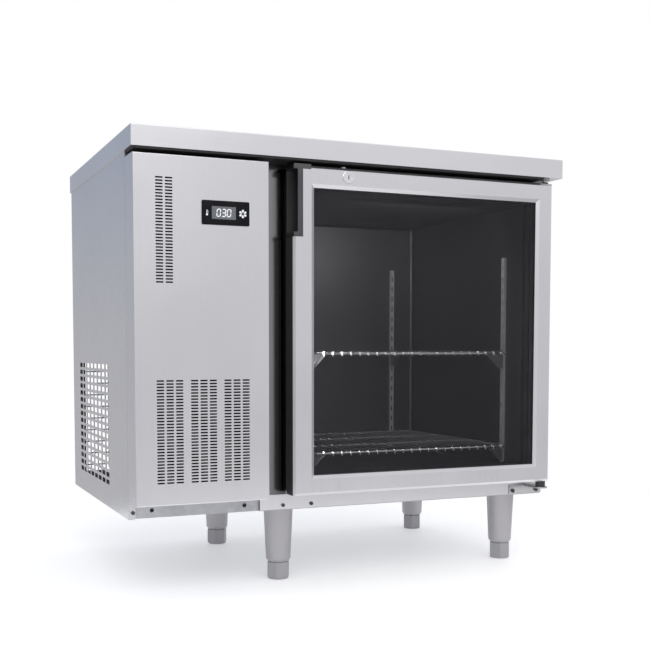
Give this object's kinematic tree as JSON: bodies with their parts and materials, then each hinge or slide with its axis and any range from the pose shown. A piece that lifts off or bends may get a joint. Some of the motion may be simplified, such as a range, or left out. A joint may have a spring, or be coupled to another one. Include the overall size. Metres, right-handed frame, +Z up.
{
  "type": "under counter fridge",
  "caption": "Stainless under counter fridge with a framed glass door on the right and a slotted machine compartment on the left, on adjustable legs.",
  "frame": {"origin": "on the floor, below the centre of the overall box", "axes": "+X to the right seen from the front, along the width; +Y to the back; +Z up"},
  "size_m": [0.9, 0.6, 0.845],
  "materials": {
    "brushed_stainless": "satin",
    "core_board": "matte",
    "black_rubber": "matte",
    "galvanised_sheet": "satin",
    "grey_plastic": "satin",
    "liner_steel": "satin",
    "foam": "matte",
    "black_gloss": "gloss",
    "display_grey": "gloss",
    "black_plastic": "matte",
    "zinc_wire": "satin",
    "black_enamel": "satin",
    "fin_aluminium": "satin",
    "copper": "satin",
    "chrome_wire": "polished",
    "door_glass": null,
    "spacer_aluminium": "satin",
    "gasket_grey": "matte",
    "lock_chrome": "polished",
    "black_nylon": "satin",
    "leg_steel": "satin",
    "foot_plastic": "satin",
    "dark_screw": "satin"
  },
  "bodies": {
    "cabinet": {"worktop_skin": "brushed_stainless", "worktop_core": "core_board", "worktop_seal_strip": "black_rubber", "side_panel_left": "brushed_stainless", "side_panel_right": "brushed_stainless", "outer_wrap": "galvanised_sheet", "front_frame": "brushed_stainless", "thermal_breaker": "grey_plastic", "base_front_rail": "brushed_stainless", "inner_liner": "liner_steel", "insulation_bottom": "foam", "insulation_top": "foam", "insulation_left": "foam", "insulation_right": "foam", "insulation_back": "foam", "service_panel": "brushed_stainless", "controller_bezel": "black_gloss", "display_lens": "display_grey", "controller_body": "black_plastic", "machine_base": "galvanised_sheet", "compartment_rails": "galvanised_sheet", "rear_wire_guard": "zinc_wire", "compressor": "black_enamel", "compressor_feet": "black_rubber", "condenser_coil": "fin_aluminium", "fan_shroud": "galvanised_sheet", "condenser_fan_motor": "black_enamel", "filter_drier": "copper", "refrigerant_tubes": "copper", "electrical_box": "grey_plastic", "cable_gland": "black_plastic", "evaporator_housing": "liner_steel", "evaporator_coil": "fin_aluminium", "evaporator_fan_motor": "black_enamel", "shelf_pilasters": "liner_steel", "shelf_clips": "liner_steel", "upper_shelf": "chrome_wire", "lower_shelf": "chrome_wire", "hinge_bracket_bottom": "brushed_stainless", "hinge_bracket_top": "brushed_stainless", "leg_tubes": "leg_steel", "front_screws": "dark_screw"},
    "door": {"door_skin": "brushed_stainless", "door_core": "grey_plastic", "door_glass_outer": "door_glass", "door_glass_inner": "door_glass", "glass_spacer": "spacer_aluminium", "door_gasket": "gasket_grey", "door_handle": "black_plastic", "lock_housing": "lock_chrome", "hinge_bushes": "black_nylon"},
    "lock_cylinder": {"lock_cylinder": "lock_chrome"},
    "lock_bolt": {"lock_bolt": "lock_chrome"},
    "condenser_fan": {"condenser_fan": "black_plastic"},
    "evaporator_fan": {"evaporator_fan": "black_plastic"},
    "foot_fl": {"foot_fl": "foot_plastic"},
    "foot_fr": {"foot_fr": "foot_plastic"},
    "foot_rl": {"foot_rl": "foot_plastic"},
    "foot_rr": {"foot_rr": "foot_plastic"}
  },
  "joints": [
    {"name": "door_hinge", "type": "hinge", "parent": "cabinet", "child": "door", "pos_m": [0.419, -0.2785, 0.488], "axis": [0, 0, 1], "range_deg": [0, 110]},
    {"name": "lock_turn", "type": "hinge", "parent": "door", "child": "lock_cylinder", "pos_m": [-0.0346, -0.2855, 0.7788], "axis": [0, 1, 0], "range_deg": [0, 90]},
    {"name": "lock_bolt_slide", "type": "slide", "parent": "door", "child": "lock_bolt", "axis": [0, 0, 1], "range_m": [0, 0.0055]},
    {"name": "condenser_fan_spin", "type": "hinge", "parent": "cabinet", "child": "condenser_fan", "pos_m": [-0.321, -0.1765, 0.308], "axis": [0, 1, 0], "continuous": true},
    {"name": "evaporator_fan_spin", "type": "hinge", "parent": "cabinet", "child": "evaporator_fan", "pos_m": [-0.086, 0.02, 0.66], "axis": [1, 0, 0], "continuous": true},
    {"name": "foot_fl_screw", "type": "slide", "parent": "cabinet", "child": "foot_fl", "axis": [0, 0, -1], "range_m": [0, 0.03]},
    {"name": "foot_fr_screw", "type": "slide", "parent": "cabinet", "child": "foot_fr", "axis": [0, 0, -1], "range_m": [0, 0.03]},
    {"name": "foot_rl_screw", "type": "slide", "parent": "cabinet", "child": "foot_rl", "axis": [0, 0, -1], "range_m": [0, 0.03]},
    {"name": "foot_rr_screw", "type": "slide", "parent": "cabinet", "child": "foot_rr", "axis": [0, 0, -1], "range_m": [0, 0.03]}
  ],
  "couplings": [
    {"joint": "lock_turn", "follows": "lock_bolt_slide", "rad_per_m": 285.6}
  ]
}
